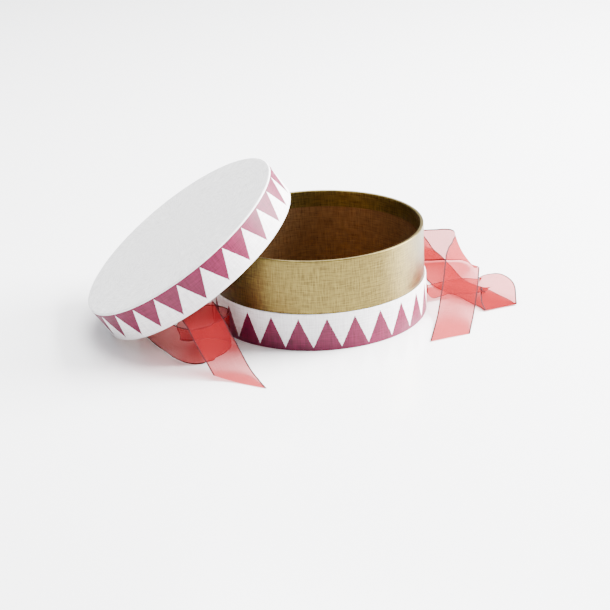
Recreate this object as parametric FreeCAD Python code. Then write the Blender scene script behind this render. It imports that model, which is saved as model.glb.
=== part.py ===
import FreeCAD, Part
import math
import os

# Round two-part hat box: a board body wrapped in gold paper, with a printed band
# round its foot, and a deep lid that leans on the floor beside it.  Two tie ribbons
# are glued to the sides of the band, and lie curled on the floor.
# Units are millimetres.  The origin is on the body's axis at the floor, +Z is up,
# and -Y is the front.

Vector = FreeCAD.Vector
UP = Vector(0, 0, 1)

# ---------------------------------------------------------------- body
BODY_DIAMETER = 147.4     # outside of the wall board
BODY_HEIGHT = 62.8        # floor to the paper-covered rim
WALL_BOARD = 1.8
BASE_BOARD = 2.0
PAPER = 0.25              # covering papers
LINING = 0.2              # inside papers
GLUE = 0.05               # glue line between two curved layers
RIBBON_GLUE = 0.3         # thicker dab under the end of a ribbon
EDGE_ROUND = 0.45         # worn corner of a board edge
RIM_TURN_IN = 12.0        # gold paper turned over the rim and down the inside

# ---------------------------------------------------------------- printed band
BAND_HEIGHT = 25.8
BAND_BOARD = 0.5
BAND_TURN_DOWN = 8.0      # printed paper tucked behind the band's top edge
BAND_TURN_UNDER = 8.0     # printed paper turned under the base, from the wall's inside
LAP_WIDTH = 8.0           # overlap of a strip's two ends, at the back
LAP_THICKNESS = 0.2

# ---------------------------------------------------------------- lid
LID_CLEARANCE = 0.9       # radial gap between the lid's lining and the gold wall
LID_HEIGHT = 24.4         # top face to free edge
LID_RIM_BOARD = 2.6
LID_TOP_BOARD = 2.0
LID_EDGE_ROUND = 0.9      # rounded corner of the lid's top board
LID_TOP_TURN_DOWN = 0.9   # how far the white top paper shows below the top face
LID_RIM_TURN_IN = 10.0    # printed paper turned in over the free edge

# The lid leans with its foot on the floor and the body's rim tucked inside it.
LEAN_TILT = 34.0          # degrees between the lid's top face and the floor
LEAN_AZIMUTH = 188.0      # degrees from +X to the side that the lid leans on
LEAN_TUCK = 11.4          # depth of the nearest rim point inside the lid's free edge

# ---------------------------------------------------------------- ribbon
RIBBON_WIDTH = 25.0
RIBBON_THICKNESS = 0.3
RIBBON_STEPS = 3          # flat facets from one station to the next
FLOOR_GAP = 0.4           # a standing ribbon's lower edge above the floor
FLAT_LOW = 0.5            # middle of the cloth above the floor where it lies flat
RIGHT_ROOT = 11.0         # degrees from +X to the right ribbon's glued end
ROUTE_RADIUS = 75.15      # band radius that the ribbons' places were chosen round
ROUTE_WIDTH = 25.0        # ribbon width that the ribbons' places were chosen for

# ---------------------------------------------------------------- derived
wall_out = BODY_DIAMETER / 2
wall_in = wall_out - WALL_BOARD
gold_out = wall_out + GLUE + PAPER
gold_in = wall_in - GLUE - PAPER
band_in = gold_out + GLUE + PAPER + GLUE
band_out = band_in + BAND_BOARD
band_paper_out = band_out + GLUE + PAPER
turn_under_in = wall_in - BAND_TURN_UNDER
base_top = PAPER + BASE_BOARD
floor_top = base_top + LINING

lid_inside = gold_out + LID_CLEARANCE
lid_board_in = lid_inside + PAPER + GLUE
lid_board_out = lid_board_in + LID_RIM_BOARD
lid_out = lid_board_out + GLUE + PAPER
lid_ceiling = PAPER + LID_TOP_BOARD + LINING

standing_z = FLOOR_GAP + RIBBON_WIDTH / 2
wall_top = FLOOR_GAP + RIBBON_WIDTH       # upper edge of a standing run
glued_radius = band_paper_out + RIBBON_GLUE + RIBBON_THICKNESS / 2

os.makedirs("parts", exist_ok=True)


def save(shape, node):
    """Write one node's STEP file and say what it holds."""
    shape.exportStep("parts/" + node + ".step")
    print(node, len(shape.Solids), round(shape.Volume, 1), shape.isValid())


# ---------------------------------------------------------------- turned sections
def outline(corners):
    """A closed wire in the XZ plane from (radius, height, rounding) corners."""
    edges = []
    count = len(corners)
    starts = []
    ends = []
    middles = []
    for index in range(count):
        r, z, rounding = corners[index]
        before = corners[index - 1]
        after = corners[(index + 1) % count]
        here = Vector(r, 0, z)
        back = Vector(before[0] - r, 0, before[1] - z).normalize()
        ahead = Vector(after[0] - r, 0, after[1] - z).normalize()
        half = back.getAngle(ahead) / 2
        reach = rounding / math.tan(half)
        starts.append(here + back * reach)
        ends.append(here + ahead * reach)
        inward = (back + ahead).normalize()
        middles.append(here + inward * (rounding / math.sin(half) - rounding))
    for index in range(count):
        if corners[index][2] > 0:
            edges.append(Part.Arc(starts[index], middles[index], ends[index]).toShape())
        following = (index + 1) % count
        if ends[index].distanceToPoint(starts[following]) > 1e-6:
            edges.append(Part.LineSegment(ends[index], starts[following]).toShape())
    return Part.Wire(edges)


def turned(corners):
    """A solid of revolution about the Z axis."""
    return Part.Face(outline(corners)).revolve(Vector(0, 0, 0), UP, 360)


def disc(radius, bottom, top):
    return Part.makeCylinder(radius, top - bottom, Vector(0, 0, bottom))


def lap(radius, bottom, top):
    """The raised overlap of a paper strip's two ends, at the back (+Y)."""
    half = math.degrees(LAP_WIDTH / 2 / radius)
    section = turned_part(radius - PAPER / 2, radius + LAP_THICKNESS, bottom, top, 2 * half)
    section.rotate(Vector(0, 0, 0), UP, 90 - half)
    return section


def turned_part(r_in, r_out, bottom, top, sweep):
    corners = [(r_in, bottom, 0), (r_out, bottom, 0), (r_out, top, 0), (r_in, top, 0)]
    return Part.Face(outline(corners)).revolve(Vector(0, 0, 0), UP, sweep)


# ---------------------------------------------------------------- body pieces
def wall_board():
    top = BODY_HEIGHT - PAPER
    return turned([
        (wall_in, PAPER, 0),
        (wall_out, PAPER, 0),
        (wall_out, top, EDGE_ROUND),
        (wall_in, top, EDGE_ROUND),
    ])


def gold_wrap():
    """Gold paper up the outside, over the rim and down the inside."""
    inner_end = BODY_HEIGHT - RIM_TURN_IN
    over = EDGE_ROUND + PAPER
    return turned([
        (wall_out + GLUE, PAPER, 0),
        (gold_out, PAPER, 0),
        (gold_out, BODY_HEIGHT, over),
        (gold_in, BODY_HEIGHT, over),
        (gold_in, inner_end, 0),
        (wall_in - GLUE, inner_end, 0),
        (wall_in - GLUE, BODY_HEIGHT - PAPER, EDGE_ROUND),
        (wall_out + GLUE, BODY_HEIGHT - PAPER, EDGE_ROUND),
    ])


def wall_lining():
    top = BODY_HEIGHT - RIM_TURN_IN
    outer = wall_in - GLUE
    return turned([
        (outer - LINING, floor_top, 0),
        (outer, floor_top, 0),
        (outer, top, 0),
        (outer - LINING, top, 0),
    ])


def base_board():
    return disc(wall_in - GLUE, PAPER, base_top)


def floor_lining():
    return disc(wall_in - GLUE, base_top, floor_top)


def base_cover():
    return disc(turn_under_in - GLUE, 0, PAPER)


def band_board():
    top = BAND_HEIGHT - PAPER
    return turned([
        (band_in, PAPER, 0),
        (band_out, PAPER, 0),
        (band_out, top, BAND_BOARD / 4),
        (band_in, top, BAND_BOARD / 4),
    ])


def band_paper():
    """Printed paper round the band, tucked down behind it and turned under the base."""
    tuck_out = band_in - GLUE
    tuck_in = tuck_out - PAPER
    tuck_end = BAND_HEIGHT - BAND_TURN_DOWN
    small = BAND_BOARD / 4
    skin = turned([
        (turn_under_in, 0, 0),
        (band_paper_out, 0, small + PAPER),
        (band_paper_out, BAND_HEIGHT, small + PAPER),
        (tuck_in, BAND_HEIGHT, small + PAPER),
        (tuck_in, tuck_end, 0),
        (tuck_out, tuck_end, 0),
        (tuck_out, BAND_HEIGHT - PAPER, small),
        (band_out + GLUE, BAND_HEIGHT - PAPER, small),
        (band_out + GLUE, PAPER, small),
        (turn_under_in, PAPER, 0),
    ])
    return skin.fuse(lap(band_paper_out, small + PAPER, BAND_HEIGHT - small - PAPER))


# ---------------------------------------------------------------- lid pieces
# Made with the lid's top face at height 0 and its free edge below, then leaned.
def lid_top_board():
    return disc(lid_board_in - GLUE, -PAPER - LID_TOP_BOARD, -PAPER)


def lid_rim_board():
    return turned([
        (lid_board_in, -LID_HEIGHT + PAPER, EDGE_ROUND),
        (lid_board_out, -LID_HEIGHT + PAPER, EDGE_ROUND),
        (lid_board_out, -PAPER, LID_EDGE_ROUND - PAPER),
        (lid_board_in, -PAPER, 0),
    ])


def lid_top_paper():
    """White paper over the top board, turned a little way down the rim."""
    return turned([
        (0, -PAPER, 0),
        (lid_board_out + GLUE, -PAPER, LID_EDGE_ROUND - PAPER),
        (lid_board_out + GLUE, -LID_TOP_TURN_DOWN - PAPER, 0),
        (lid_out, -LID_TOP_TURN_DOWN - PAPER, 0),
        (lid_out, 0, LID_EDGE_ROUND),
        (0, 0, 0),
    ])


def lid_rim_paper():
    """Printed paper down the rim, round its free edge and up the inside."""
    top = -LID_TOP_TURN_DOWN - PAPER
    over = EDGE_ROUND + PAPER
    inner_end = -LID_HEIGHT + LID_RIM_TURN_IN
    skin = turned([
        (lid_board_out + GLUE, top, 0),
        (lid_board_out + GLUE, -LID_HEIGHT + PAPER, EDGE_ROUND),
        (lid_board_in - GLUE, -LID_HEIGHT + PAPER, EDGE_ROUND),
        (lid_board_in - GLUE, inner_end, 0),
        (lid_inside, inner_end, 0),
        (lid_inside, -LID_HEIGHT, over),
        (lid_out, -LID_HEIGHT, over),
        (lid_out, top, 0),
    ])
    return skin.fuse(lap(lid_out, -LID_HEIGHT + over, top))


def lid_rim_lining():
    outer = lid_board_in - GLUE
    bottom = -LID_HEIGHT + LID_RIM_TURN_IN
    return turned([
        (outer - LINING, bottom, 0),
        (outer, bottom, 0),
        (outer, -lid_ceiling, 0),
        (outer - LINING, -lid_ceiling, 0),
    ])


def lid_top_lining():
    return disc(lid_board_in - GLUE, -lid_ceiling, -lid_ceiling + LINING)


def lean(shape):
    """Put a lid piece where it leans: foot on the floor, body's rim tucked inside."""
    tilt = math.radians(LEAN_TILT)
    edge_height = lid_out * math.sin(tilt)
    drop = (LEAN_TUCK - (BODY_HEIGHT - edge_height) * math.cos(tilt)) / math.sin(tilt)
    edge_reach = gold_out - drop
    centre_reach = edge_reach + LID_HEIGHT * math.sin(tilt)
    centre_height = edge_height + LID_HEIGHT * math.cos(tilt)
    placed = shape.copy()
    placed.rotate(Vector(0, 0, 0), UP, 180)
    placed.rotate(Vector(0, 0, 0), Vector(0, 1, 0), LEAN_TILT)
    placed.translate(Vector(centre_reach, 0, centre_height))
    placed.rotate(Vector(0, 0, 0), UP, LEAN_AZIMUTH)
    return placed


# ---------------------------------------------------------------- ribbons
# Stations along a ribbon's middle line: place, then the direction of its width.
# The places are chosen by hand, and the heights of the standing runs follow the
# ribbon's own width.  Each ribbon has one end glued to the band's side and the
# other lying free on the floor at the front.
def station(x, y, low, across):
    """A station whose lower edge is at height low, moved out as the band grows."""
    width_way = Vector(*across).normalize()
    outward = Vector(x, y, 0).normalize() * (band_paper_out - ROUTE_RADIUS)
    height = low + abs(width_way.z) * RIBBON_WIDTH / 2
    return (Vector(x, y, height) + outward, width_way)


def against_band(angle, height, across):
    """A station on the band's side, at an angle in degrees from +X."""
    turn = math.radians(angle)
    place = Vector(glued_radius * math.cos(turn), glued_radius * math.sin(turn), height)
    return (place, across)


STANDING = (0, 0, 1)

# The left ribbon stands on its edge, leaves from the wall, swings round under the
# leaning lid and curls at the front, and its tail falls over its own curl.  The tail
# moves aside as the ribbon widens, so that it stays clear of the lid's rim.
tail_aside = 2 * (RIBBON_WIDTH - ROUTE_WIDTH)
left_ribbon = [
    station(tail_aside - 50, -127, FLAT_LOW, (0.9, 0.42, 0)),
    station(tail_aside - 54, -117, 1, (0.9, 0.42, 0)),
    station(tail_aside - 58, -109, 4, (0.91, 0.41, 0)),
    station(tail_aside - 63, -102, 11, (0.92, 0.4, 0)),
    station(tail_aside - 68.5, -97, 20.5, (0.92, 0.39, 0)),
    station(tail_aside - 73, -91.5, wall_top + 2.5, (0.92, 0.36, 0.03)),
    station(tail_aside - 77, -83, wall_top + 4.5, (0.92, 0.32, 0.12)),
    station(tail_aside - 80.5, -74.5, wall_top + 3.5, (0.9, 0.25, 0.3)),
    station(tail_aside - 85, -66.5, 18, (0.75, 0.08, 0.66)),
    station(tail_aside - 88, -59.5, 6, (0.35, 0, 0.94)),
    station(tail_aside - 85, -52.5, 1.5, (0.08, 0, 1)),
    station(-77, -48.5, FLOOR_GAP, STANDING),
    station(-67, -50.5, FLOOR_GAP, STANDING),
    station(-60.3, -58, FLOOR_GAP, STANDING),
    station(-61.5, -69, FLOOR_GAP, STANDING),
    station(-67, -78, FLOOR_GAP, STANDING),
    station(-75, -87, FLOOR_GAP, STANDING),
    station(tail_aside / 2 - 84.5, -89.5, FLOOR_GAP, STANDING),
    station(tail_aside / 2 - 95, -80.5, FLOOR_GAP, STANDING),
    station(-107, -61.4, FLOOR_GAP, STANDING),
    station(-119, -40, FLOOR_GAP, STANDING),
    station(-126, -20, FLOOR_GAP, STANDING),
    station(-126.5, 0, FLOOR_GAP, STANDING),
    station(-121, 19, FLOOR_GAP, STANDING),
    station(-110, 34, FLOOR_GAP, STANDING),
    station(-96.5, 43, FLOOR_GAP, STANDING),
    station(-84, 45.5, FLOOR_GAP, STANDING),
    station(-75, 42, FLOOR_GAP, STANDING),
    station(-70, 34, FLOOR_GAP, STANDING),
    against_band(160, standing_z, UP),
    against_band(167, standing_z, UP),
    against_band(174, standing_z, UP),
]

# The right ribbon turns down from the wall, bows over and back under itself, lies
# flat to behind the box, stands up to turn round, and comes forward over its bow.
side_way = Vector(-math.sin(math.radians(RIGHT_ROOT)), math.cos(math.radians(RIGHT_ROOT)), 0)
right_ribbon = [
    against_band(RIGHT_ROOT, 13, side_way),
    against_band(RIGHT_ROOT, 9.5, side_way),
    against_band(RIGHT_ROOT, 6.2, side_way),
    station(77, 15.4, 3.2, (-0.15, 0.98, 0)),
    station(81.5, 17.2, 2.5, (-0.15, 0.98, 0)),
    station(88, 19.5, 2.9, (-0.08, 0.99, 0)),
    station(96, 20, 4.2, (0.05, 0.99, 0)),
    station(104, 14, 6.3, (0.1, 0.99, 0)),
    station(112.2, 8.5, 8.3, (0.02, 1, 0)),
    station(117.7, 7.9, 8.3, (0.18, 0.97, 0.15)),
    station(122.7, 5.8, 8, (0.46, 0.85, 0.24)),
    station(125.5, 2.8, 7.6, (0.72, 0.67, 0.2)),
    station(125.6, -1.8, 7, (0.95, 0.3, 0.08)),
    station(125.2, -6.2, 5.2, (0.97, 0.22, 0.03)),
    station(125, -10.6, 3.2, (0.97, 0.23, 0.02)),
    station(125.4, -13.6, 1.9, (0.93, 0.36, 0)),
    station(125.9, -14.9, 1.2, (0.92, 0.39, 0)),
    station(125.4, -13.6, 0.6, (0.92, 0.39, 0)),
    station(122.6, -7, FLAT_LOW, (0.92, 0.4, 0)),
    station(117.5, 2, FLAT_LOW, (0.88, 0.47, 0)),
    station(111.5, 12, FLAT_LOW, (0.84, 0.54, 0)),
    station(102.5, 24, FLAT_LOW, (0.85, 0.53, 0)),
    station(94, 37, FLAT_LOW, (0.96, 0.28, 0)),
    station(89, 58, FLAT_LOW, (0.97, 0.24, 0)),
    station(84, 80, FLAT_LOW, (0.97, 0.25, 0)),
    station(78, 101, FLAT_LOW, (0.95, 0.31, 0)),
    station(72, 117, 0.6, (0.9, 0.35, 0.2)),
    station(65, 128, 0.6, (0.6, 0.4, 0.68)),
    station(55, 134, FLOOR_GAP, (0.15, 0.2, 0.97)),
    station(44, 132, FLOOR_GAP, STANDING),
    station(37, 121, FLOOR_GAP, STANDING),
    station(38, 106, FLOOR_GAP, STANDING),
    station(47, 92, FLOOR_GAP, STANDING),
    station(60, 83.5, 0.8, STANDING),
    station(74, 80.5, 1.4, STANDING),
    station(87, 80, 1.4, STANDING),
    station(98, 80, 1.2, STANDING),
    station(105.5, 75, 1.4, (-0.33, -0.1, 0.92)),
    station(107, 65, 1.8, (-0.6, -0.1, 0.79)),
    station(105.6, 55, 4.4, (-0.76, -0.06, 0.6)),
    station(104.8, 44, 9.5, (-0.92, -0.03, 0.3)),
    station(103.5, 31, 13.2, (-0.98, 0, 0.1)),
    station(101.8, 18, 15, (-1, 0.03, 0)),
    station(100, 4, 14.8, (-0.99, 0.08, 0)),
    station(97.6, -10, 12, (-0.98, 0.12, 0)),
    station(95, -22, 7, (-0.98, 0.15, 0)),
    station(92.2, -34, 2.5, (-0.98, 0.18, 0)),
    station(89.6, -46, 0.8, (-0.98, 0.2, 0)),
    station(86.4, -61.5, FLAT_LOW, (-0.98, 0.2, 0)),
]


def eased(before, start, end, after, t):
    """A point of the smooth curve from start to end, at t from 0 to 1.

    It leaves along the line from before to end, and arrives along the line from
    start to after, each as strongly as the stretch is long, so it never overshoots.
    """
    reach = (end - start).Length
    leaving = (end - before).normalize() * reach
    arriving = (after - start).normalize() * reach
    return (start * (2 * t ** 3 - 3 * t ** 2 + 1)
            + leaving * (t ** 3 - 2 * t ** 2 + t)
            + end * (3 * t ** 2 - 2 * t ** 3)
            + arriving * (t ** 3 - t ** 2))


def ribbon_line(stations):
    """Places, travel directions and width directions along a whole ribbon."""
    last = len(stations) - 1
    places = []
    acrosses = []
    for index in range(last):
        around = [stations[min(max(index + k, 0), last)] for k in (-1, 0, 1, 2)]
        for step in range(RIBBON_STEPS):
            t = step / RIBBON_STEPS
            ease = t * t * (3 - 2 * t)
            places.append(eased(*[item[0] for item in around], t))
            acrosses.append(around[1][1] * (1 - ease) + around[2][1] * ease)
    places.append(stations[last][0])
    acrosses.append(stations[last][1])
    line = []
    for index, place in enumerate(places):
        before = places[max(index - 1, 0)]
        after = places[min(index + 1, len(places) - 1)]
        travel = (after - before).normalize()
        across = acrosses[index]
        across = (across - travel * across.dot(travel)).normalize()
        lowest = FLOOR_GAP + abs(across.z) * RIBBON_WIDTH / 2
        place = Vector(place.x, place.y, max(place.z, lowest))
        line.append((place, travel, across))
    return line


def triangle(a, b, c):
    return Part.Face(Part.makePolygon([a, b, c, a]))


def ribbon(stations):
    """A whole ribbon as one closed strip of flat facets along its line."""
    line = ribbon_line(stations)
    print("ribbon length", round(sum((b[0] - a[0]).Length for a, b in zip(line, line[1:])), 1))
    rings = []
    for place, travel, across in line:
        up = travel.cross(across).normalize() * (RIBBON_THICKNESS / 2)
        aside = across * (RIBBON_WIDTH / 2)
        low_edge = place - aside
        high_edge = place + aside
        rings.append([low_edge - up, high_edge - up, high_edge + up, low_edge + up])
    faces = []
    for ring, following in zip(rings, rings[1:]):
        for k in range(4):
            m = (k + 1) % 4
            faces.append(triangle(ring[k], ring[m], following[m]))
            faces.append(triangle(ring[k], following[m], following[k]))
    for ring in (rings[0], rings[-1]):
        faces.append(triangle(ring[0], ring[1], ring[2]))
        faces.append(triangle(ring[0], ring[2], ring[3]))
    shell = Part.makeShell(faces)
    shell.sewShape()
    solid = Part.makeSolid(shell)
    if solid.Volume < 0:
        solid.reverse()
    return solid


# ---------------------------------------------------------------- write the nodes
save(wall_board(), "wall_board")
save(gold_wrap(), "gold_wrap")
save(wall_lining(), "wall_lining")
save(base_board(), "base_board")
save(floor_lining(), "floor_lining")
save(base_cover(), "base_cover")
save(band_board(), "band_board")
save(band_paper(), "band_paper")

save(lean(lid_top_board()), "lid_top_board")
save(lean(lid_rim_board()), "lid_rim_board")
save(lean(lid_top_paper()), "lid_top_paper")
save(lean(lid_rim_paper()), "lid_rim_paper")
save(lean(lid_rim_lining()), "lid_rim_lining")
save(lean(lid_top_lining()), "lid_top_lining")

save(ribbon(left_ribbon), "tie_ribbon_left")
save(ribbon(right_ribbon), "tie_ribbon_right")
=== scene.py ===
import math

import bmesh
import bpy
import numpy as np
from mathutils import Matrix, Vector


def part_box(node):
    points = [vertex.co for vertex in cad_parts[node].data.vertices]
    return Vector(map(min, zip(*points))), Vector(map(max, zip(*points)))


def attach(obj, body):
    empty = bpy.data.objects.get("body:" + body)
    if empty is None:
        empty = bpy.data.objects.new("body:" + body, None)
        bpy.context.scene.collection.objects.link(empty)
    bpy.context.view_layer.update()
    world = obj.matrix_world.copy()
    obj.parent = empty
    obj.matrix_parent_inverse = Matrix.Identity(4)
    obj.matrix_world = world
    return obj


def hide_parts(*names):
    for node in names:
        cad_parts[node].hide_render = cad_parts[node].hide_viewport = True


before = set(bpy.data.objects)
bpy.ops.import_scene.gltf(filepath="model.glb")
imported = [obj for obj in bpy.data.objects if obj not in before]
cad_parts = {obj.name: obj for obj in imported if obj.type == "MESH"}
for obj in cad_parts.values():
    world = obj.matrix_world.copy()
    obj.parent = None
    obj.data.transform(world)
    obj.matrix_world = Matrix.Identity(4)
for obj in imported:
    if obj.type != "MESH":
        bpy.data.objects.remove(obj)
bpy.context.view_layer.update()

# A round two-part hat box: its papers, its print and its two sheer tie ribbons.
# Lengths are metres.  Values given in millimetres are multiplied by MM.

MM = 0.001

# ---------------------------------------------------------------- sizes
PAPER = 0.25 * MM
LINING = 0.2 * MM
GLUE = 0.05 * MM
EDGE_ROUND = 0.45 * MM
LAP_WIDTH = 8 * MM
LAP_THICKNESS = 0.2 * MM
LAP_CUT = 0.25 * MM           # width of the lap's sharp side
LAP_RISE = 4 * MM             # width of its slow side
RIM_TURN_IN = 12 * MM
BAND_TURN_DOWN = 8 * MM
SMALL_ROUND = 0.125 * MM      # tight fold of the band's paper

BAND_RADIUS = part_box("band_paper")[1].x
BAND_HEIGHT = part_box("band_paper")[1].z
BAND_BOARD_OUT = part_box("band_board")[1].x
UNDER_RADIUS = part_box("base_cover")[1].x + GLUE
GOLD_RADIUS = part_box("gold_wrap")[1].x
RIM_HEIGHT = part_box("gold_wrap")[1].z
WALL_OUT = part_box("wall_board")[1].x
WALL_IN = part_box("base_board")[1].x + GLUE
FLOOR_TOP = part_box("floor_lining")[1].z

LID_RADIUS = 78.1 * MM
LID_INSIDE = 74.9 * MM
LID_HEIGHT = 24.4 * MM
LID_TOP_BOARD = 2 * MM
LID_EDGE_ROUND = 0.9 * MM
LID_TOP_TURN_DOWN = 0.9 * MM
LID_RIM_TURN_IN = 10 * MM
LEAN_TILT = math.radians(34)
LEAN_AZIMUTH = math.radians(188)
LEAN_TUCK = 11.4 * MM

BAND_TRIANGLES = 25
BAND_FIRST_TIP = math.radians(-129.69)
LID_TRIANGLES = 26
LID_FIRST_TIP = math.radians(152.35)
# The lining gold in the emboss's hollows, darkened as painted shade, and on its thread tops.
GOLD_LINING_SHADED_HOLLOW = "#5a4028"
GOLD_LINING_THREAD_TOP = "#8f6f48"

RIBBON_WIDTH = 25 * MM
RIBBON_THICKNESS = 0.3        # this and the rest of the ribbons' values: millimetres
RIBBON_GLUE = 0.3
FLOOR_GAP = 0.4               # a standing ribbon's lower edge above the floor
FLAT_LOW = 0.5                # middle of the cloth above the floor where it lies flat
RIBBON_STEP = 0.8             # from one row of points to the next
RIBBON_COLUMNS = 21
RIPPLE = 0.16                 # height of the waves over the whole width
EDGE_RIPPLE = 0.22            # height of the waves along the edges
RIPPLE_FADE = 8               # ripples grow to their full height this far from an end
LOWEST = 0.15                 # no point of the cloth is lower
LOWEST_UPPER = 0.4            # nor than this, if it belongs to a layer above the floor's

AROUND = 400                  # sections of a turned paper
LAP_SECTIONS = 97             # finer sections over a lap
ARC_POINTS = 7                # points on a rounded corner
PROFILE_STEP = 1.2 * MM       # longest step along a turned paper's outline


# ---------------------------------------------------------------- node helpers
def linear(hex_code):
    """An sRGB hex colour as a linear RGBA colour."""
    parts = [int(hex_code[k:k + 2], 16) / 255 for k in (1, 3, 5)]
    made = [c / 12.92 if c <= 0.04045 else ((c + 0.055) / 1.055) ** 2.4 for c in parts]
    return (*made, 1)


def add(tree, kind, inputs=None, **settings):
    """Add a node with its settings; an input's value is a number, a colour or a socket."""
    made = tree.nodes.new("ShaderNode" + kind)
    for name, value in settings.items():
        setattr(made, name, value)
    for name, value in (inputs or {}).items():
        if isinstance(value, bpy.types.NodeSocket):
            tree.links.new(value, made.inputs[name])
        else:
            made.inputs[name].default_value = value
    return made


def maths(tree, operation, first, second=0.0, clamp=False):
    """The result of one Math node."""
    made = add(tree, "Math", {0: first, 1: second}, operation=operation, use_clamp=clamp)
    return made.outputs[0]


def mixed(tree, share, first, second):
    """A colour between two, by a share from 0 to 1."""
    made = add(tree, "Mix", {0: share, 6: first, 7: second}, data_type="RGBA")
    return made.outputs[2]


def streaks(tree, vector, across, along, turn=0.0):
    """Noise drawn out into threads, across wide and along long, in millimetres."""
    size = (1 / across, 1 / along, 1)
    placed = add(tree, "Mapping", {"Vector": vector, "Rotation": (0, 0, turn), "Scale": size},
                 vector_type="POINT")
    noise = add(tree, "TexNoise", {"Vector": placed.outputs[0], "Scale": 1.0, "Detail": 2.0,
                                   "Roughness": 0.6}, noise_dimensions="3D")
    return noise.outputs[0]


def linen(tree, vector, thread=1.0):
    """Height of a linen emboss: uneven threads both ways, thread millimetres apart."""
    warp = streaks(tree, vector, thread, thread * 11)
    weft = streaks(tree, vector, thread * 11, thread)
    relief = maths(tree, "SUBTRACT", maths(tree, "ADD", warp, weft), 1.0)
    return maths(tree, "ADD", maths(tree, "MULTIPLY", relief, 1.25), 0.5, clamp=True)


def new_material(name):
    made = bpy.data.materials.new(name)
    made.use_nodes = True
    made.node_tree.nodes.clear()
    return made, made.node_tree


def finish_material(tree, shader):
    add(tree, "OutputMaterial", {"Surface": shader.outputs[0]})


def millimetres(tree):
    """The piece's own UV map, which holds millimetres round and up the surface."""
    return add(tree, "UVMap", uv_map="mm").outputs[0]


def object_millimetres(tree):
    """Object coordinates in millimetres, for CAD nodes, which have no UV map."""
    place = add(tree, "TexCoord").outputs["Object"]
    scaled = add(tree, "VectorMath", {0: place, 1: (1000, 1000, 1000)}, operation="MULTIPLY")
    return scaled.outputs[0]


def recoat(name, material):
    """Give a CAD node that is shown as it is a material in place of its own."""
    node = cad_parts[name]
    node.data.materials.clear()
    node.data.materials.append(material)


# ---------------------------------------------------------------- materials
def printed_linen(name, pitch, first, tip, valley, below):
    """Offset-printed art paper with a linen emboss: plum triangles on white.

    Plum fills one side of a zigzag line, whose height goes from tip, at first and
    every pitch after it, to valley half a pitch on.  The emboss breaks the soft gloss
    of the ink into short threads of light, and both inks are painted darker in its
    low threads, as painted shade in its hollows.
    """
    made, tree = new_material(name)
    place = millimetres(tree)
    parts = add(tree, "SeparateXYZ", {0: place})
    phase = maths(tree, "DIVIDE", maths(tree, "SUBTRACT", parts.outputs[0], first), pitch)
    zigzag = maths(tree, "MULTIPLY", maths(tree, "PINGPONG", phase, 0.5), 2)
    line = maths(tree, "ADD", maths(tree, "MULTIPLY", zigzag, valley - tip), tip)
    height = linen(tree, place)
    bleed = maths(tree, "MULTIPLY", maths(tree, "SUBTRACT", height, 0.5), 1.2)
    above = maths(tree, "SUBTRACT", maths(tree, "ADD", parts.outputs[1], bleed), line)
    soft = maths(tree, "MULTIPLY", above, -4 if below else 4)
    ink = maths(tree, "ADD", soft, 0.5, clamp=True)
    cloud = streaks(tree, place, 9, 9)
    # The plum is painted darker where the emboss is low: painted shade in its hollows.
    plum = mixed(tree, height, linear("#45051d"), linear("#7d1844"))
    plum = mixed(tree, maths(tree, "MULTIPLY", cloud, 0.35), plum, linear("#50062a"))
    # The white is painted darker where the emboss is low: painted shade in its hollows.
    white = mixed(tree, height, linear("#d3cdd0"), linear("#ffffff"))
    colour = mixed(tree, ink, white, plum)
    bump = add(tree, "Bump", {"Strength": 0.7, "Distance": 0.1 * MM, "Height": height})
    shader = add(tree, "BsdfPrincipled", {
        "Base Color": colour, "Roughness": 0.5, "IOR": 1.5, "Specular IOR Level": 0.25,
        "Normal": bump.outputs[0],
    })
    finish_material(tree, shader)
    return made


def white_linen(name, place_of):
    """White art paper with a linen emboss: a calm matt white with a fine thread, painted darker
    in the emboss's low threads as painted shade in its hollows.
    """
    made, tree = new_material(name)
    place = place_of(tree)
    height = linen(tree, place)
    # The white is painted darker where the emboss is low: painted shade in its hollows.
    colour = mixed(tree, height, linear("#c9c8c8"), linear("#ffffff"))
    bump = add(tree, "Bump", {"Strength": 0.6, "Distance": 0.07 * MM, "Height": height})
    shader = add(tree, "BsdfPrincipled", {
        "Base Color": colour, "Roughness": 0.6, "IOR": 1.5, "Normal": bump.outputs[0],
    })
    finish_material(tree, shader)
    return made


def metallised_gold(name, roughness, shaded_hollow, thread_top, depth):
    """Metallised paper under a linen emboss: soft gold gloss in crossed threads, with its low
    threads painted darker as painted shade in the emboss's hollows.
    """
    made, tree = new_material(name)
    place = millimetres(tree)
    height = linen(tree, place, 0.9)
    fine = linen(tree, place, 0.4)
    relief = maths(tree, "ADD", height, maths(tree, "MULTIPLY", fine, 0.5))
    # The first given colour goes in the emboss's hollows and holds painted shade; the second is
    # the gold on the thread tops.
    colour = mixed(tree, height, linear(shaded_hollow), linear(thread_top))
    bump = add(tree, "Bump", {"Strength": 0.8, "Distance": depth * MM, "Height": relief})
    shader = add(tree, "BsdfPrincipled", {
        "Base Color": colour, "Metallic": 0.85, "Roughness": roughness,
        "Normal": bump.outputs[0],
    })
    finish_material(tree, shader)
    return made


def uncoated_lining(name, place_of):
    """Uncoated wood-free lining paper: matt, with faint fibre clouding."""
    made, tree = new_material(name)
    place = place_of(tree)
    fibre = streaks(tree, place, 1.4, 1.4)
    colour = mixed(tree, fibre, linear("#d9d6d0"), linear("#efede8"))
    bump = add(tree, "Bump", {"Strength": 0.3, "Distance": 0.03 * MM, "Height": fibre})
    shader = add(tree, "BsdfPrincipled", {
        "Base Color": colour, "Roughness": 0.85, "Normal": bump.outputs[0],
    })
    finish_material(tree, shader)
    return made


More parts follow.
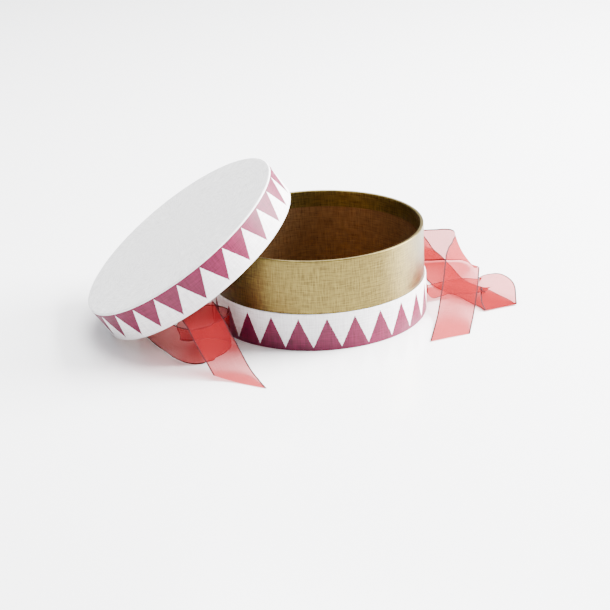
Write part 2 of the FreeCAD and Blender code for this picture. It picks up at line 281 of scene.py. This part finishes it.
def grey_board(name):
    """Recycled grey board: speckled fibre and a rough face."""
    made, tree = new_material(name)
    place = object_millimetres(tree)
    fibre = streaks(tree, place, 0.8, 2.5)
    colour = mixed(tree, fibre, linear("#8d857a"), linear("#b5aea2"))
    bump = add(tree, "Bump", {"Strength": 0.4, "Distance": 0.05 * MM, "Height": fibre})
    shader = add(tree, "BsdfPrincipled", {
        "Base Color": colour, "Roughness": 0.9, "Normal": bump.outputs[0],
    })
    finish_material(tree, shader)
    return made


def organza(name):
    """Sheer nylon organza with woven edges: a coral veil, deeper at each layer.

    The open part of the weave tints what is behind it, so layers darken one another.
    The real threads are too fine to be seen, so the weave is drawn about three times
    too coarse.  A denser, darker selvedge runs along both edges.
    """
    selvedge = 0.95
    made, tree = new_material(name)
    place = millimetres(tree)
    parts = add(tree, "SeparateXYZ", {0: place})
    aside = maths(tree, "ABSOLUTE", parts.outputs[0])
    inside = RIBBON_WIDTH / MM / 2 - selvedge
    edge = maths(tree, "MULTIPLY", maths(tree, "SUBTRACT", aside, inside), 6, clamp=True)
    warp = streaks(tree, place, 0.45, 14)
    weft = streaks(tree, place, 14, 0.45)
    weave = maths(tree, "MULTIPLY", maths(tree, "ADD", warp, weft), 0.5)
    threads = maths(tree, "ADD", maths(tree, "MULTIPLY", weave, 0.4), 0.12)
    cover = maths(tree, "ADD", threads, edge, clamp=True)
    cloth = mixed(tree, weave, linear("#90101a"), linear("#aa2228"))
    colour = mixed(tree, edge, cloth, linear("#2a050c"))
    bump = add(tree, "Bump", {"Strength": 0.5, "Distance": 0.06 * MM, "Height": weave})
    shader = add(tree, "BsdfPrincipled", {
        "Base Color": colour, "Roughness": 0.6, "Specular IOR Level": 0.15,
        "Normal": bump.outputs[0],
    })
    veil = add(tree, "BsdfTransparent", {"Color": (0.68, 0.32, 0.32, 1)})
    both = add(tree, "MixShader", {0: cover, 1: veil.outputs[0], 2: shader.outputs[0]})
    finish_material(tree, both)
    return made


# ---------------------------------------------------------------- surfaces
def surface(name, points, uv, round_rows, round_cols, poles=False):
    """A mesh from a grid of points, rows by columns, closed on itself where it says.

    uv holds millimetres for every corner of the grid, with one more row or column
    than points wherever the grid closes, so that a pattern runs on across the join.
    poles says that some rows meet in a point, which is then made a single vertex.
    """
    rows, cols = points.shape[:2]
    i, j = np.meshgrid(np.arange(rows if round_rows else rows - 1),
                       np.arange(cols if round_cols else cols - 1), indexing="ij")
    ring_i = np.stack([i, i + 1, i + 1, i], -1).reshape(-1, 4)
    ring_j = np.stack([j, j, j + 1, j + 1], -1).reshape(-1, 4)
    quads = (ring_i % rows) * cols + ring_j % cols
    mesh = bpy.data.meshes.new(name)
    mesh.from_pydata(points.reshape(-1, 3).tolist(), [], quads.tolist())
    layer = mesh.uv_layers.new(name="mm")
    layer.data.foreach_set("uv", uv[ring_i, ring_j].astype(np.float32).ravel())
    if poles:
        work = bmesh.new()
        work.from_mesh(mesh)
        bmesh.ops.remove_doubles(work, verts=work.verts, dist=1e-7)
        work.to_mesh(mesh)
        work.free()
    mesh.polygons.foreach_set("use_smooth", np.ones(len(mesh.polygons), bool))
    mesh.set_sharp_from_angle(angle=math.radians(50))
    mesh.update()
    piece = bpy.data.objects.new(name, mesh)
    bpy.context.scene.collection.objects.link(piece)
    return piece


def outline(corners, closed=True):
    """Points along (radius, height, rounding) corners, with round corners as arcs."""
    points = []
    count = len(corners)
    for index, (r, z, rounding) in enumerate(corners):
        here = np.array([r, z])
        if rounding == 0:
            points.append(here)
            continue
        back = np.array(corners[index - 1][:2]) - here
        ahead = np.array(corners[(index + 1) % count][:2]) - here
        back = back / np.linalg.norm(back)
        ahead = ahead / np.linalg.norm(ahead)
        half = math.acos(back @ ahead) / 2
        middle = back + ahead
        centre = here + middle / np.linalg.norm(middle) * rounding / math.sin(half)
        start = here + back * rounding / math.tan(half) - centre
        end = here + ahead * rounding / math.tan(half) - centre
        sweep = math.pi - 2 * half
        for share in np.linspace(0, 1, ARC_POINTS):
            points.append(centre + (start * math.sin((1 - share) * sweep)
                                    + end * math.sin(share * sweep)) / math.sin(sweep))
    if closed:
        points.append(points[0])
    runs = []
    for a, b in zip(points, points[1:]):
        steps = max(1, math.ceil(np.linalg.norm(b - a) / PROFILE_STEP))
        runs.append(a + (b - a) * np.arange(steps)[:, None] / steps)
    runs.append(points[-1][None])
    return np.concatenate(runs)


def lap_height(azimuth, centre, radius):
    """Rise of a strip's lap: a sharp cut edge on one side, a slow rise on the other."""
    aside = (azimuth - centre + math.pi) % (2 * math.pi) - math.pi
    along = aside * radius
    cut = np.clip((LAP_WIDTH / 2 - along) / LAP_CUT, 0, 1)
    slope = np.clip((LAP_WIDTH / 2 + along) / LAP_RISE, 0, 1)
    return LAP_THICKNESS * cut * slope * slope * (3 - 2 * slope)


def turned(name, corners, lap_at=None, closed=True, place=None):
    """A paper turned about the Z axis: its outline swept round, with a lap if it has one.

    The UV map holds millimetres: round the piece at its outer radius, and along the
    outline, which reads as height on the outer wall.
    """
    line = outline(corners, closed)
    radius = line[:, 0].max()
    azimuth = np.arange(AROUND) * 2 * math.pi / AROUND
    if lap_at is not None:
        fine = np.linspace(-1.2, 1.2, LAP_SECTIONS) * LAP_WIDTH / 2 / radius + lap_at
        azimuth = np.unique(np.concatenate([azimuth, fine % (2 * math.pi)]).round(7))
    run = np.concatenate([[0], np.cumsum(np.linalg.norm(np.diff(line, axis=0), axis=1))])
    outer = np.flatnonzero(line[:, 0] > radius - 1e-9)
    middle = outer[len(outer) // 2]
    height = (run - run[middle] + line[middle, 1]) / MM
    if closed:
        line = line[:-1]
    reach = np.repeat(line[None, :, 0], len(azimuth), 0)
    if lap_at is not None:
        on_wall = (line[:, 0] > radius - 1e-9)[None, :]
        reach = reach + lap_height(azimuth, lap_at, radius)[:, None] * on_wall
    points = np.stack([reach * np.cos(azimuth)[:, None], reach * np.sin(azimuth)[:, None],
                       np.repeat(line[None, :, 1], len(azimuth), 0)], -1)
    turns = np.append(azimuth, azimuth[0] + 2 * math.pi) * radius / MM
    uv = np.stack(np.meshgrid(turns, height, indexing="ij"), -1)
    if place is not None:
        points = points @ np.array(place.to_3x3()).T + np.array(place.translation)
    return surface(name, points, uv, True, closed, poles=not closed)


def dress(piece, material, slot, body, *nodes):
    """Give a piece its material, its body and the nodes it stands for.  slot is not used."""
    piece.data.materials.append(material)
    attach(piece, body)
    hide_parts(*nodes)
    return piece


# ---------------------------------------------------------------- body papers
def gold_wrap_corners():
    """Gold paper up the outside, over the rim and down the inside."""
    over = EDGE_ROUND + PAPER
    inner_end = RIM_HEIGHT - RIM_TURN_IN
    gold_in = WALL_IN - GLUE - PAPER
    return [
        (WALL_OUT + GLUE, PAPER, 0),
        (GOLD_RADIUS, PAPER, 0),
        (GOLD_RADIUS, RIM_HEIGHT, over),
        (gold_in, RIM_HEIGHT, over),
        (gold_in, inner_end, 0),
        (WALL_IN - GLUE, inner_end, 0),
        (WALL_IN - GLUE, RIM_HEIGHT - PAPER, EDGE_ROUND),
        (WALL_OUT + GLUE, RIM_HEIGHT - PAPER, EDGE_ROUND),
    ]


def lining_corners(outer, first, last):
    """A lining paper inside a wall, from one height to another."""
    inner = outer - LINING
    return [(inner, first, 0), (outer, first, 0), (outer, last, 0), (inner, last, 0)]


def wall_lining_corners():
    return lining_corners(WALL_IN - GLUE, FLOOR_TOP, RIM_HEIGHT - RIM_TURN_IN)


def band_corners():
    """Printed paper round the band, tucked down behind it and turned under the base."""
    tuck_out = GOLD_RADIUS + GLUE + PAPER
    tuck_in = tuck_out - PAPER
    tuck_end = BAND_HEIGHT - BAND_TURN_DOWN
    over = SMALL_ROUND + PAPER
    board = BAND_BOARD_OUT + GLUE
    return [
        (UNDER_RADIUS, 0, 0),
        (BAND_RADIUS, 0, over),
        (BAND_RADIUS, BAND_HEIGHT, over),
        (tuck_in, BAND_HEIGHT, over),
        (tuck_in, tuck_end, 0),
        (tuck_out, tuck_end, 0),
        (tuck_out, BAND_HEIGHT - PAPER, SMALL_ROUND),
        (board, BAND_HEIGHT - PAPER, SMALL_ROUND),
        (board, PAPER, SMALL_ROUND),
        (UNDER_RADIUS, PAPER, 0),
    ]


# ---------------------------------------------------------------- lid papers
def lid_place():
    """Where the leaning lid lies: foot on the floor, the body's rim tucked inside."""
    edge_height = LID_RADIUS * math.sin(LEAN_TILT)
    drop = (LEAN_TUCK - (RIM_HEIGHT - edge_height) * math.cos(LEAN_TILT)) / math.sin(LEAN_TILT)
    reach = GOLD_RADIUS - drop + LID_HEIGHT * math.sin(LEAN_TILT)
    height = edge_height + LID_HEIGHT * math.cos(LEAN_TILT)
    return (Matrix.Rotation(LEAN_AZIMUTH, 4, "Z") @ Matrix.Translation((reach, 0, height))
            @ Matrix.Rotation(LEAN_TILT, 4, "Y"))


def lid_top_corners():
    """White paper over the top board, turned a little way down the rim."""
    board = LID_RADIUS - PAPER
    end = -LID_TOP_TURN_DOWN - PAPER
    return [
        (0, -PAPER, 0),
        (board, -PAPER, LID_EDGE_ROUND - PAPER),
        (board, end, 0),
        (LID_RADIUS, end, 0),
        (LID_RADIUS, 0, LID_EDGE_ROUND),
        (0, 0, 0),
    ]


def lid_rim_corners():
    """Printed paper down the rim, round its free edge and up the inside."""
    top = -LID_TOP_TURN_DOWN - PAPER
    over = EDGE_ROUND + PAPER
    board_out = LID_RADIUS - PAPER
    board_in = LID_INSIDE + PAPER
    inner_end = -LID_HEIGHT + LID_RIM_TURN_IN
    return [
        (board_out, top, 0),
        (board_out, -LID_HEIGHT + PAPER, EDGE_ROUND),
        (board_in, -LID_HEIGHT + PAPER, EDGE_ROUND),
        (board_in, inner_end, 0),
        (LID_INSIDE, inner_end, 0),
        (LID_INSIDE, -LID_HEIGHT, over),
        (LID_RADIUS, -LID_HEIGHT, over),
        (LID_RADIUS, top, 0),
    ]


def lid_lining_corners():
    ceiling = -PAPER - LID_TOP_BOARD - LINING
    return lining_corners(LID_INSIDE + PAPER, -LID_HEIGHT + LID_RIM_TURN_IN, ceiling)


# ---------------------------------------------------------------- ribbons
# Stations along a ribbon's middle line, in millimetres: place, height of the cloth's
# lower edge, and the direction of its width.
WALL_TOP = FLOOR_GAP + RIBBON_WIDTH / MM
UP = (0, 0, 1)
LEFT_RIBBON = [
    (-46.5, -135.5, FLAT_LOW, 0.9, 0.42, 0),
    (-54, -117, 1, 0.9, 0.42, 0),
    (-58, -109, 4, 0.91, 0.41, 0),
    (-63, -102, 11, 0.92, 0.4, 0),
    (-68.5, -97, 20.5, 0.92, 0.39, 0),
    (-73, -91.5, WALL_TOP + 2.5, 0.92, 0.36, 0.03),
    (-77, -83, WALL_TOP + 4.5, 0.92, 0.32, 0.12),
    (-80.5, -74.5, WALL_TOP + 3.5, 0.9, 0.25, 0.3),
    (-85, -66.5, 18, 0.75, 0.08, 0.66),
    (-88, -59.5, 6, 0.35, 0, 0.94),
    (-85, -52.5, 1.5, 0.08, 0, 1),
    (-77, -48.5, FLOOR_GAP, *UP),
    (-67, -50.5, FLOOR_GAP, *UP),
    (-60.3, -58, FLOOR_GAP, *UP),
    (-61.5, -69, FLOOR_GAP, *UP),
    (-67, -78, FLOOR_GAP, *UP),
    (-75, -87, FLOOR_GAP, *UP),
    (-84.5, -89.5, FLOOR_GAP, *UP),
    (-95, -80.5, FLOOR_GAP, *UP),
    (-107, -61.4, FLOOR_GAP, *UP),
    (-119, -40, FLOOR_GAP, *UP),
    (-126, -20, FLOOR_GAP, *UP),
    (-126.5, 0, FLOOR_GAP, *UP),
    (-121, 19, FLOOR_GAP, *UP),
    (-110, 34, FLOOR_GAP, *UP),
    (-96.5, 43, FLOOR_GAP, *UP),
    (-84, 45.5, FLOOR_GAP, *UP),
    (-75, 42, FLOOR_GAP, *UP),
    (-70, 34, FLOOR_GAP, *UP),
]
RIGHT_RIBBON = [
    (77, 15.4, 3.2, -0.15, 0.98, 0),
    (81.5, 17.2, 2.5, -0.15, 0.98, 0),
    (88, 19.5, 2.9, -0.08, 0.99, 0),
    (96, 20, 4.2, 0.05, 0.99, 0),
    (104, 14, 6.3, 0.1, 0.99, 0),
    (112.2, 8.5, 8.3, 0.02, 1, 0),
    (117.7, 7.9, 8.3, 0.18, 0.97, 0.15),
    (122.7, 5.8, 8, 0.46, 0.85, 0.24),
    (125.5, 2.8, 7.6, 0.72, 0.67, 0.2),
    (125.6, -1.8, 7, 0.95, 0.3, 0.08),
    (125.2, -6.2, 5.2, 0.97, 0.22, 0.03),
    (125, -10.6, 3.2, 0.97, 0.23, 0.02),
    (125.4, -13.6, 1.9, 0.93, 0.36, 0),
    (125.9, -14.9, 1.2, 0.92, 0.39, 0),
    (125.4, -13.6, 0.6, 0.92, 0.39, 0),
    (122.6, -7, FLAT_LOW, 0.92, 0.4, 0),
    (117.5, 2, FLAT_LOW, 0.88, 0.47, 0),
    (111.5, 12, FLAT_LOW, 0.84, 0.54, 0),
    (102.5, 24, FLAT_LOW, 0.85, 0.53, 0),
    (94, 37, FLAT_LOW, 0.96, 0.28, 0),
    (89, 58, FLAT_LOW, 0.97, 0.24, 0),
    (84, 80, FLAT_LOW, 0.97, 0.25, 0),
    (78, 101, FLAT_LOW, 0.95, 0.31, 0),
    (72, 117, 0.6, 0.9, 0.35, 0.2),
    (65, 128, 0.6, 0.6, 0.4, 0.68),
    (55, 134, FLOOR_GAP, 0.15, 0.2, 0.97),
    (44, 132, FLOOR_GAP, *UP),
    (37, 121, FLOOR_GAP, *UP),
    (38, 106, FLOOR_GAP, *UP),
    (47, 92, FLOOR_GAP, *UP),
    (60, 83.5, 0.8, *UP),
    (74, 80.5, 1.4, *UP),
    (87, 80, 1.4, *UP),
    (98, 80, 1.2, *UP),
    (105.5, 75, 1.4, -0.33, -0.1, 0.92),
    (107, 65, 1.8, -0.6, -0.1, 0.79),
    (105.6, 55, 4.4, -0.76, -0.06, 0.6),
    (104.8, 44, 9.5, -0.92, -0.03, 0.3),
    (103.5, 31, 13.2, -0.98, 0, 0.1),
    (101.8, 18, 15, -1, 0.03, 0),
    (100, 4, 14.8, -0.99, 0.08, 0),
    (97.6, -10, 12, -0.98, 0.12, 0),
    (95, -22, 7, -0.98, 0.15, 0),
    (92.2, -34, 2.5, -0.98, 0.18, 0),
    (89.6, -46, 0.8, -0.98, 0.2, 0),
    (84.8, -70.5, FLAT_LOW, -0.98, 0.2, 0),
]
GLUED_RADIUS = BAND_RADIUS / MM + RIBBON_GLUE + RIBBON_THICKNESS / 2
RIGHT_ROOT = math.radians(11)


def station_arrays(stations):
    """Places and unit width directions of the stations, as arrays in millimetres."""
    table = np.array(stations, float)
    across = table[:, 3:] / np.linalg.norm(table[:, 3:], axis=1)[:, None]
    places = table[:, :3].copy()
    places[:, 2] += np.abs(across[:, 2]) * RIBBON_WIDTH / MM / 2
    return places, across


def against_band(angles, heights, across):
    """Stations on the band's side, where a ribbon is glued."""
    angles = np.asarray(angles, float)
    places = np.stack([GLUED_RADIUS * np.cos(angles), GLUED_RADIUS * np.sin(angles),
                       np.broadcast_to(np.asarray(heights, float), angles.shape)], -1)
    return places, np.broadcast_to(np.array(across, float), places.shape)


def smooth_line(places, across, steps=16):
    """A smooth line through the stations, with its width direction, in millimetres.

    Each stretch is a cubic that leaves and arrives along the line between the stations
    on either side, as strongly as the stretch is long.
    """
    before = np.concatenate([places[:1], places[:-2]])
    start, end = places[:-1], places[1:]
    after = np.concatenate([places[2:], places[-1:]])
    reach = np.linalg.norm(end - start, axis=1)[:, None]
    leaving = end - before
    arriving = after - start
    leaving = leaving / np.linalg.norm(leaving, axis=1)[:, None] * reach
    arriving = arriving / np.linalg.norm(arriving, axis=1)[:, None] * reach
    t = (np.arange(steps) / steps)[None, :, None]
    bend = (start[:, None] * (2 * t ** 3 - 3 * t ** 2 + 1)
            + leaving[:, None] * (t ** 3 - 2 * t ** 2 + t)
            + end[:, None] * (3 * t ** 2 - 2 * t ** 3)
            + arriving[:, None] * (t ** 3 - t ** 2))
    ease = t * t * (3 - 2 * t)
    width = across[:-1, None] * (1 - ease) + across[1:, None] * ease
    line = np.concatenate([bend.reshape(-1, 3), places[-1:]])
    width = np.concatenate([width.reshape(-1, 3), across[-1:]])
    travel = np.gradient(line, axis=0)
    travel = travel / np.linalg.norm(travel, axis=1)[:, None]
    width = width - travel * (width * travel).sum(1)[:, None]
    return line, width / np.linalg.norm(width, axis=1)[:, None], travel


def ribbon(name, places, across, cut_start, cut_end, creases):
    """A ribbon as a sheet: its line carried across its width, with soft ripples.

    cut_start and cut_end say how much of each edge (lower or upper side of the width
    direction) is cut away at that end, so that an end can be slanted.  creases holds
    (middle, half-length, depth) stretches where the cloth is crinkled.  Returns the
    piece, its full length and its mean length, both in millimetres.
    """
    line, width, travel = smooth_line(places, across)
    run = np.concatenate([[0], np.cumsum(np.linalg.norm(np.diff(line, axis=0), axis=1))])
    full = run[-1]
    half = RIBBON_WIDTH / MM / 2
    aside = half * np.sin(np.linspace(-1, 1, RIBBON_COLUMNS) * math.pi / 2)
    share = (aside / half + 1) / 2
    first = cut_start[0] + (cut_start[1] - cut_start[0]) * share
    last = full - (cut_end[0] + (cut_end[1] - cut_end[0]) * share)
    along = np.linspace(0, 1, round(full / RIBBON_STEP))[:, None]
    at = first[None, :] + (last - first)[None, :] * along
    pick = [np.interp(at, run, line[:, k]) for k in range(3)]
    way = [np.interp(at, run, width[:, k]) for k in range(3)]
    ahead = [np.interp(at, run, travel[:, k]) for k in range(3)]
    centre, out, ahead = np.stack(pick, -1), np.stack(way, -1), np.stack(ahead, -1)
    out = out / np.linalg.norm(out, axis=-1)[..., None]
    normal = np.cross(ahead, out)
    normal = normal / np.linalg.norm(normal, axis=-1)[..., None]
    edge = (aside / half)[None, :] ** 2
    ripple = (RIPPLE * np.sin(at / 7.1 + aside[None, :] / 9)
              + EDGE_RIPPLE * edge * np.sin(at / 4.3 + 1.1))
    for middle, spread, depth in creases:
        near = np.exp(-((at - middle) / spread) ** 2)
        lean = at + 0.35 * aside[None, :]
        ripple = ripple + depth * near * (np.sin(lean / 1.7) + 0.6 * np.sin(lean / 1.1 + 2)) / 1.6
    free = np.clip(np.minimum(at, full - at) / RIPPLE_FADE, 0, 1)
    points = centre + out * aside[None, :, None] + normal * (ripple * free)[..., None]
    floor = np.where(points[..., 2] > 1, LOWEST_UPPER, LOWEST)
    points[..., 2] = np.maximum(points[..., 2], floor)
    uv = np.stack([np.broadcast_to(aside[None, :], at.shape), at], -1)
    piece = surface(name, points * MM, uv, False, False)
    return piece, full, (last - first).mean()


# ---------------------------------------------------------------- build the papers
def build_box():
    # Each gold's first colour is its emboss's hollows with painted shade, its second its thread
    # tops.
    gold = metallised_gold("metallised_linen_paper", 0.3, "#43361a", "#7a6c38", 0.1)
    gold_inside = metallised_gold("metallised_lining_paper", 0.5, GOLD_LINING_SHADED_HOLLOW,
                                  GOLD_LINING_THREAD_TOP, 0.08)
    pitch = 2 * math.pi * BAND_RADIUS / MM / BAND_TRIANGLES
    band_print = printed_linen("printed_linen_band_paper", pitch,
                               BAND_FIRST_TIP * BAND_RADIUS / MM, 22.8, 2.0, True)
    behind = math.pi / 2
    dress(turned("gold_wrap_paper", gold_wrap_corners()), gold,
          "gold_linen_paper", "box", "gold_wrap")
    dress(turned("wall_lining_paper", wall_lining_corners()), gold_inside,
          "gold_lining_paper", "box", "wall_lining")
    dress(turned("band_wrap_paper", band_corners(), behind), band_print,
          "printed_linen_paper", "box", "band_paper")
    recoat("floor_lining", gold_floor())
    recoat("base_cover", white_linen("white_linen_base_paper", object_millimetres))


def gold_floor():
    """The floor's lining: the wall's metallised lining paper, with a plainer emboss whose low
    threads are painted darker as painted shade.
    """
    made, tree = new_material("metallised_floor_paper")
    place = object_millimetres(tree)
    height = linen(tree, place, 0.9)
    # The gold is painted darker where the emboss is low: painted shade in its hollows.
    colour = mixed(tree, height, linear(GOLD_LINING_SHADED_HOLLOW), linear(GOLD_LINING_THREAD_TOP))
    bump = add(tree, "Bump", {"Strength": 0.8, "Distance": 0.05 * MM, "Height": height})
    shader = add(tree, "BsdfPrincipled", {
        "Base Color": colour, "Metallic": 0.85, "Roughness": 0.5, "Normal": bump.outputs[0],
    })
    finish_material(tree, shader)
    return made


def build_lid():
    lid = lid_place()
    pitch = 2 * math.pi * LID_RADIUS / MM / LID_TRIANGLES
    rim_print = printed_linen("printed_linen_lid_paper", pitch,
                              LID_FIRST_TIP * LID_RADIUS / MM, -2.2, -21.8, False)
    white = white_linen("white_linen_lid_paper", millimetres)
    lining = uncoated_lining("white_rim_lining_paper", millimetres)
    away = math.radians(270)
    dress(turned("lid_top_cover", lid_top_corners(), closed=False, place=lid), white,
          "white_linen_paper", "lid", "lid_top_paper")
    dress(turned("lid_rim_wrap", lid_rim_corners(), away, place=lid), rim_print,
          "printed_linen_paper", "lid", "lid_rim_paper")
    dress(turned("lid_rim_lining_paper", lid_lining_corners(), place=lid), lining,
          "white_lining_paper", "lid", "lid_rim_lining")
    recoat("lid_top_lining", uncoated_lining("white_ceiling_lining_paper", object_millimetres))


def build_boards():
    board = grey_board("recycled_grey_board")
    for name in ("wall_board", "base_board", "band_board", "lid_top_board", "lid_rim_board"):
        recoat(name, board)


def build_ribbons():
    cloth = organza("nylon_organza")
    places, across = station_arrays(LEFT_RIBBON)
    glued, glued_across = against_band(np.radians([160, 167, 174]),
                                       FLOOR_GAP + RIBBON_WIDTH / MM / 2, UP)
    left, length, mean = ribbon("tie_ribbon_left_cloth", np.concatenate([places, glued]),
                                np.concatenate([across, glued_across]), (30, 0), (0, 0),
                                [(112, 16, 0.5), (175, 14, 0.7)])
    dress(left, cloth, "coral_organza", "box", "tie_ribbon_left")
    places, across = station_arrays(RIGHT_RIBBON)
    side_way = (-math.sin(RIGHT_ROOT), math.cos(RIGHT_ROOT), 0)
    glued, glued_across = against_band([RIGHT_ROOT] * 3, [13, 9.5, 6.2], side_way)
    right, length, mean = ribbon("tie_ribbon_right_cloth", np.concatenate([glued, places]),
                                 np.concatenate([glued_across, across]), (0, 0), (16, 0),
                                 [(345, 12, 0.5)])
    dress(right, cloth, "coral_organza", "box", "tie_ribbon_right")


# ---------------------------------------------------------------- floor, light, camera
def build_floor():
    """A plain pale table with a faint gloss."""
    mesh = bpy.data.meshes.new("floor")
    reach = 6.0
    corners = [(-reach, -reach, 0), (reach, -reach, 0), (reach, reach, 0), (-reach, reach, 0)]
    mesh.from_pydata(corners, [], [(0, 1, 2, 3)])
    floor = bpy.data.objects.new("floor", mesh)
    bpy.context.scene.collection.objects.link(floor)
    made, tree = new_material("lacquered_white_table")
    shader = add(tree, "BsdfPrincipled", {
        "Base Color": linear("#f7f7f8"), "Roughness": 0.16, "IOR": 1.45,
    })
    finish_material(tree, shader)
    mesh.materials.append(made)


def soft_light(name, place, towards, size, power, colour=(1, 1, 1)):
    """A square soft box that faces a point."""
    lamp = bpy.data.lights.new(name, "AREA")
    lamp.shape = "SQUARE"
    lamp.size = size
    lamp.energy = power
    lamp.color = colour
    holder = bpy.data.objects.new(name, lamp)
    holder.location = place
    holder.rotation_euler = (Vector(towards) - Vector(place)).to_track_quat("-Z", "Y").to_euler()
    bpy.context.scene.collection.objects.link(holder)


def build_light():
    middle = (0, 0, 0.04)
    soft_light("right_soft_box", (1.5, 0.35, 0.85), middle, 1.2, 340)
    soft_light("top_soft_box", (0.3, 0.7, 1.8), middle, 2.0, 175)
    world = bpy.data.worlds.new("room")
    world.use_nodes = True
    world.node_tree.nodes["Background"].inputs["Color"].default_value = (0.95, 0.97, 1, 1)
    world.node_tree.nodes["Background"].inputs["Strength"].default_value = 0.75
    bpy.context.scene.world = world


CAMERA_LENS = 94.43           # millimetres, on a 36 mm sensor
CAMERA_DISTANCE = 1.11267
CAMERA_AIM_HEIGHT = 36 * MM
CAMERA_ELEVATION = math.radians(20.62)
CAMERA_YAW = math.radians(-0.51)
CAMERA_PITCH = math.radians(-1.6)
CAMERA_ROLL = math.radians(-2.35)


def build_camera():
    """A camera in front and above, aimed at the body, then turned a little each way."""
    data = bpy.data.cameras.new("camera")
    data.lens = CAMERA_LENS
    data.sensor_width = 36
    camera = bpy.data.objects.new("camera", data)
    ahead = Vector((0, math.cos(CAMERA_ELEVATION), -math.sin(CAMERA_ELEVATION)))
    right = Vector((1, 0, 0))
    up = right.cross(ahead)
    place = Vector((0, 0, CAMERA_AIM_HEIGHT)) - ahead * CAMERA_DISTANCE
    aim = (ahead * math.cos(CAMERA_YAW) * math.cos(CAMERA_PITCH)
           + right * math.sin(CAMERA_YAW) * math.cos(CAMERA_PITCH) + up * math.sin(CAMERA_PITCH))
    level = aim.cross(up).normalized()
    above = level.cross(aim)
    rolled_right = level * math.cos(CAMERA_ROLL) + above * math.sin(CAMERA_ROLL)
    rolled_up = above * math.cos(CAMERA_ROLL) - level * math.sin(CAMERA_ROLL)
    turn = Matrix((rolled_right, rolled_up, -aim)).transposed()
    camera.matrix_world = Matrix.Translation(place) @ turn.to_4x4()
    bpy.context.scene.collection.objects.link(camera)
    bpy.context.scene.camera = camera


build_boards()
build_box()
build_lid()
build_ribbons()
build_floor()
build_light()
build_camera()
